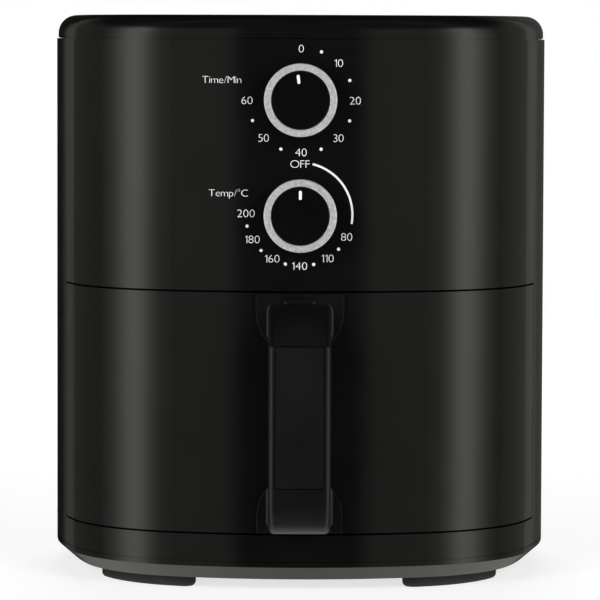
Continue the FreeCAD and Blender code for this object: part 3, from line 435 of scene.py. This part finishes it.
def ceramic_white(name):
    """Glazed white porcelain with a few kiln specks."""
    made, tree, shader = start(name)
    where = place(tree)
    specks = spread(tree, cells(tree, where, scale=260.0), start=0.03, end=0.07)
    glaze = noise(tree, where, scale=130.0)
    speck = (0.30, 0.27, 0.22)
    body = (0.78, 0.77, 0.73)
    feed(tree, shader, {
        "Base Color": tint(tree, specks, speck, body),
        "Roughness": spread(tree, glaze, 0.14, 0.24),
        "Normal": relief(tree, glaze, depth=0.00003),
    })
    return made


FINISHES = {
    "casing_black": (plastic, dict(colour=grey(0.0038), rough=0.10)),
    "grip_black": (plastic, dict(colour=grey(0.0040), rough=0.30, wear=0.06, grain=1100.0,
                                 depth=0.000006, ior=1.40)),
    "inlay_black": (plastic, dict(colour=grey(0.0052), rough=0.30, wear=0.08, grain=1400.0,
                                  depth=0.000012)),
    "inner_black": (plastic, dict(colour=grey(0.016), rough=0.42, wear=0.10, grain=700.0,
                                  depth=0.00002)),
    "knob_black": (plastic, dict(colour=grey(0.0022), rough=0.22, wear=0.06, grain=1200.0,
                                 depth=0.000008)),
    "nylon_white": (plastic, dict(colour=(0.62, 0.60, 0.54), rough=0.38)),
    "foot_rubber": (rubber, dict(colour=grey(0.012), rough=0.80)),
    "silicone": (rubber, dict(colour=grey(0.030), rough=0.62)),
    "sheet_steel": (sheet_steel, dict(colour=grey(0.52), rough=0.32)),
    "bell_chrome": (brushed, dict(colour=grey(0.66), rough=0.10, stretch=(30.0, 30.0, 30.0))),
    "copper_tube": (brushed, dict(colour=(0.66, 0.28, 0.17), rough=0.22,
                                  stretch=(1.0, 30.0, 30.0))),
    "bronze": (brushed, dict(colour=(0.50, 0.29, 0.12), rough=0.30, stretch=(30.0, 30.0, 1.0))),
    "fan_aluminium": (brushed, dict(colour=grey(0.68), rough=0.30)),
    "screw_steel": (brushed, dict(colour=(0.56, 0.56, 0.55), rough=0.26,
                                  stretch=(30.0, 30.0, 30.0))),
    "dial_silver": (dial_silver, {}),
    "print_white": (print_white, {}),
    "nonstick": (nonstick, {}),
    "element_steel": (element_steel, {}),
    "core_steel": (core_steel, {}),
    "winding": (winding, {}),
    "insulation_wool": (insulation_wool, {}),
    "ceramic_white": (ceramic_white, {}),
}


def finish_nodes():
    """Gives every CAD node the finish of its material slot."""
    made = {}
    for row in frame["record"]["subparts"]:
        slot = row["material_slot"]
        if slot not in made:
            make, settings = FINISHES[slot]
            made[slot] = make(slot, **settings)
        mesh = frame["nodes"][row["node"]].data
        mesh.materials.clear()
        mesh.materials.append(made[slot])
    return made


# ---------------------------------------------------------------- mesh helpers


def mesh_from(bm, name):
    mesh = bpy.data.meshes.new(name)
    bm.to_mesh(mesh)
    bm.free()
    return mesh


def piece_from(bm, name):
    """A new object of the scene."""
    piece = bpy.data.objects.new(name, mesh_from(bm, name))
    bpy.context.scene.collection.objects.link(piece)
    return piece


def put_outline(bm, points):
    """A thin flat piece from its outline, facing forwards."""
    fronts = [bm.verts.new((x, -HALF_THICK, z)) for x, z in points]
    backs = [bm.verts.new((x, HALF_THICK, z)) for x, z in points]
    bm.faces.new(fronts)
    bm.faces.new(backs[::-1])
    for n in range(len(points)):
        after = (n + 1) % len(points)
        bm.faces.new((fronts[after], fronts[n], backs[n], backs[after]))


# ---------------------------------------------------------------- printed scales


def glyph(letter):
    """One letter of the built-in font as a thin piece, lying flat."""
    curve = bpy.data.curves.new("glyph", "FONT")
    curve.body = letter
    curve.extrude = HALF_THICK
    curve.offset = -LETTER_THIN
    curve.resolution_u = LETTER_CURVE_STEPS
    text = bpy.data.objects.new("glyph", curve)
    mesh = bpy.data.meshes.new_from_object(text)
    bpy.data.objects.remove(text)
    return mesh


def one(low, high):
    """A figure 1 with a flag, which the built-in font lacks, lying flat like the others."""
    tall = high - low
    bm = bmesh.new()
    put_outline(bm, [(x * tall, z * tall) for x, z in ONE_OUTLINE])
    bm.transform(Matrix.Translation((0, low, 0)) @ Matrix.Rotation(math.radians(-90), 4, "X"))
    return mesh_from(bm, "one")


def span(mesh, axis):
    values = [vertex.co[axis] for vertex in mesh.vertices]
    return min(values), max(values)


def put_text(bm, words, height, x, z):
    """Sets words centred on (x, z), letter by letter, with noughts of the given height."""
    low, high = span(glyph("0"), 1)
    size = height / (high - low)
    meshes = [one(low, high) if letter == "1" else glyph(letter) for letter in words]
    spans = [span(mesh, 0) for mesh in meshes]
    width = sum(right - left for left, right in spans) + LETTER_GAP * (len(words) - 1)
    pen = -width / 2
    upright = Matrix.Rotation(math.radians(90), 4, "X")
    for mesh, (left, right) in zip(meshes, spans):
        shift = Matrix.Translation((pen - left, -(low + high) / 2, 0))
        scale = Matrix.Diagonal((size * LETTER_STRETCH, size, 1, 1))
        mesh.transform(Matrix.Translation((x, 0, z)) @ upright @ scale @ shift)
        bm.from_mesh(mesh)
        pen += right - left + LETTER_GAP


def dial_point(centre, radius, degrees):
    """A point on a dial, turned clockwise from its top."""
    turn = math.radians(degrees)
    return centre.x + radius * math.sin(turn), centre.z + radius * math.cos(turn)


def put_dot(bm, x, z):
    turns = [2 * math.pi * n / DOT_SIDES for n in range(DOT_SIDES)]
    put_outline(bm, [(x + DOT_RADIUS * math.cos(t), z + DOT_RADIUS * math.sin(t)) for t in turns])


def put_arc(bm, centre, radius, width, from_deg, to_deg):
    """A curved line as short flat pieces end to end."""
    angles = [from_deg + (to_deg - from_deg) * n / ARC_PIECES for n in range(ARC_PIECES + 1)]
    outer = [dial_point(centre, radius + width / 2, angle) for angle in angles]
    inner = [dial_point(centre, radius - width / 2, angle) for angle in angles]
    for n in range(ARC_PIECES):
        put_outline(bm, [inner[n], outer[n], outer[n + 1], inner[n + 1]])


def wrapped(bm, name, front):
    """Lays the flat drawing on the front wall's arc, as one piece."""
    for vertex in bm.verts:
        arc = FRONT_RADIUS - math.sqrt(FRONT_RADIUS**2 - vertex.co.x**2)
        depth = PRINT_SUNK if vertex.co.y > 0 else -PRINT_PROUD
        vertex.co.y = front + arc + depth
    bmesh.ops.recalc_face_normals(bm, faces=bm.faces)
    piece = piece_from(bm, name)
    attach(piece, "appliance_body")
    return piece


def node_centre(node):
    low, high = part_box(node)
    return (low + high) / 2


def shifted(point, step):
    """The point moved sideways and up by step."""
    return point + Vector((step[0], 0, step[1]))


def timer_scale(front):
    """Minutes round the timer's dial, with a dot half-way between two marks."""
    bm = bmesh.new()
    shaft = node_centre("timer_shaft")
    centre = shifted(shaft, TIMER_SHIFT)
    for n in range(TIMER_MARKS):
        degrees = n * TIMER_STEP_DEG
        radius = TIMER_RADIUS + TIMER_SIDE_ROOM * math.sin(math.radians(degrees)) ** 2
        words = str(n * TIMER_MARK_MINUTES)
        put_text(bm, words, DIGIT_HEIGHT, *dial_point(centre, radius, degrees))
    for n in range(TIMER_MARKS - 1):
        put_dot(bm, *dial_point(centre, TIMER_DOT_RADIUS, (n + 0.5) * TIMER_STEP_DEG))
    title = shifted(shaft, TIMER_TITLE_AT)
    put_text(bm, "Time/Min", WORD_HEIGHT, title.x, title.z)
    return wrapped(bm, "timer_scale", front)


def heat_point(centre, degrees):
    """A mark's place on the temperature scale, which widens towards the left."""
    leftward = max(0.0, -math.sin(math.radians(degrees)))
    return dial_point(centre, HEAT_RADIUS + HEAT_LEFT_ROOM * leftward**2, degrees)


def temperature_scale(front):
    """Degrees round the temperature dial, with OFF and an arc up to the lowest mark."""
    bm = bmesh.new()
    shaft = node_centre("temperature_shaft")
    centre = shifted(shaft, HEAT_SHIFT)
    for degrees, words in HEAT_MARKS:
        put_text(bm, words, DIGIT_HEIGHT, *heat_point(centre, degrees))
    for degrees in HEAT_DOTS_DEG:
        put_dot(bm, *heat_point(centre, degrees))
    off = shifted(shaft, OFF_AT)
    put_text(bm, "OFF", DIGIT_HEIGHT, off.x, off.z)
    put_arc(bm, shaft, OFF_ARC_RADIUS, OFF_ARC_WIDTH, *OFF_ARC_DEG)
    title = shifted(shaft, HEAT_TITLE_AT)
    put_text(bm, "Temp/°C", WORD_HEIGHT, title.x, title.z)
    return wrapped(bm, "temperature_scale", front)


# ---------------------------------------------------------------- studio


def tones_around(tree, axes):
    """Brightness by azimuth."""
    aside = maths(tree, "ABSOLUTE", axes[0])
    ahead = maths(tree, "MULTIPLY", axes[1], -1.0)
    azimuth = maths(tree, "ARCTAN2", aside, ahead)
    ramp = add(tree, "ValToRGB", {"Fac": maths(tree, "DIVIDE", azimuth, math.pi)})
    stops = ramp.color_ramp.elements
    while len(stops) < len(STUDIO_TONES):
        stops.new(0.5)
    for stop, (degrees, tone) in zip(stops, STUDIO_TONES):
        stop.position = degrees / 180.0
        stop.color = (*grey(tone / STUDIO_PEAK), 1.0)
    return maths(tree, "MULTIPLY", ramp.outputs[0], STUDIO_PEAK)


def studio_world():
    """Dark studio: a tall soft light on each side, a rim light behind right, and a lit floor."""
    world = bpy.data.worlds.new("studio")
    bpy.context.scene.world = world
    world.use_nodes = True
    tree = world.node_tree
    direction = add(tree, "TexCoord").outputs["Generated"]
    axes = add(tree, "SeparateXYZ", {0: direction}).outputs
    around = tones_around(tree, axes)
    overhead = spread(tree, axes[2], *OVERHEAD_TONES, *OVERHEAD_BAND)
    level = spread(tree, axes[2], *LEVEL_TONES, *LEVEL_BAND)
    total = maths(tree, "MULTIPLY", maths(tree, "MULTIPLY", around, overhead), level)
    behind_right = weighed(tree, axes[0], axes[1], RIM_XY)
    rim = spread(tree, behind_right, *RIM_TONES, *RIM_BAND)
    behind_below = weighed(tree, axes[2], axes[1], FLOOR_BEHIND_ZY)
    floor_behind = spread(tree, behind_below, *FLOOR_BEHIND_TONES, *FLOOR_BEHIND_BAND)
    floor_ahead = spread(tree, axes[2], *FLOOR_AHEAD_TONES, *FLOOR_AHEAD_BAND)
    for glow in (rim, floor_behind, floor_ahead):
        total = maths(tree, "ADD", total, glow)
    feed(tree, tree.nodes["Background"], {"Strength": total, "Color": (*STUDIO_WARMTH, 1.0)})


def softbox(name, at, aim, side, power):
    """A large square light that shades surfaces without showing in their gloss."""
    data = bpy.data.lights.new(name, "AREA")
    data.size = side
    data.energy = power
    light = bpy.data.objects.new(name, data)
    light.location = at
    light.rotation_euler = (aim - at).to_track_quat("-Z", "Y").to_euler()
    light.visible_glossy = False
    light.visible_camera = False
    bpy.context.scene.collection.objects.link(light)


def backdrop():
    """A plain white dome, which only the camera sees."""
    bm = bmesh.new()
    bmesh.ops.create_uvsphere(bm, u_segments=BACKDROP_SEGMENTS, v_segments=BACKDROP_RINGS,
                              radius=BACKDROP_RADIUS)
    dome = piece_from(bm, "backdrop")
    made, tree, shader = start("backdrop")
    feed(tree, shader, {
        "Base Color": (0.0, 0.0, 0.0, 1.0),
        "Emission Color": WHITE_LIGHT,
        "Emission Strength": 1.0,
        "Specular IOR Level": 0.0,
    })
    dome.data.materials.append(made)
    dome.visible_diffuse = False
    dome.visible_glossy = False
    dome.visible_transmission = False
    dome.visible_shadow = False


def floor():
    """A plain pale floor, which fades into the white of the backdrop."""
    bm = bmesh.new()
    bmesh.ops.create_circle(bm, cap_ends=True, segments=FLOOR_SEGMENTS, radius=BACKDROP_RADIUS)
    sheet = piece_from(bm, "floor")
    made, tree, shader = start("floor")
    away = vector_maths(tree, "LENGTH", place(tree))["Value"]
    far = spread(tree, away, 0.0, 1.0, *FLOOR_FADE)
    feed(tree, shader, {
        "Base Color": tint(tree, far, grey(FLOOR_GREY), grey(0.0)),
        "Roughness": FLOOR_ROUGH,
        "Specular IOR Level": 0.0,
        "Emission Color": WHITE_LIGHT,
        "Emission Strength": spread(tree, away, FLOOR_GLOW, 1.0, *FLOOR_FADE),
    })
    sheet.data.materials.append(made)
    sheet.visible_glossy = False


def camera(front):
    data = bpy.data.cameras.new("camera")
    data.lens = LENS_MM
    data.sensor_width = SENSOR_MM
    data.clip_end = CAMERA_REACH
    made = bpy.data.objects.new("camera", data)
    tilt = Matrix.Rotation(math.radians(90.0 - CAMERA_PITCH_DEG), 4, "X")
    roll = Matrix.Rotation(math.radians(CAMERA_ROLL_DEG), 4, "Z")
    made.matrix_world = Matrix.Translation((0, front - CAMERA_AWAY, CAMERA_HEIGHT)) @ tilt @ roll
    bpy.context.scene.collection.objects.link(made)
    bpy.context.scene.camera = made


def studio(front):
    """Light, backdrop, floor and camera."""
    middle = (cad_bounds[0] + cad_bounds[1]) / 2
    studio_world()
    for name, (at, side, power) in SOFTBOXES.items():
        softbox(name, Vector(at), middle, side, power)
    backdrop()
    floor()
    camera(front)
    bpy.context.scene.view_settings.view_transform = "Standard"


front_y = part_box("housing")[0].y
finishes = finish_nodes()
for scale in (timer_scale(front_y), temperature_scale(front_y)):
    scale.data.materials.append(finishes["print_white"])
studio(front_y)
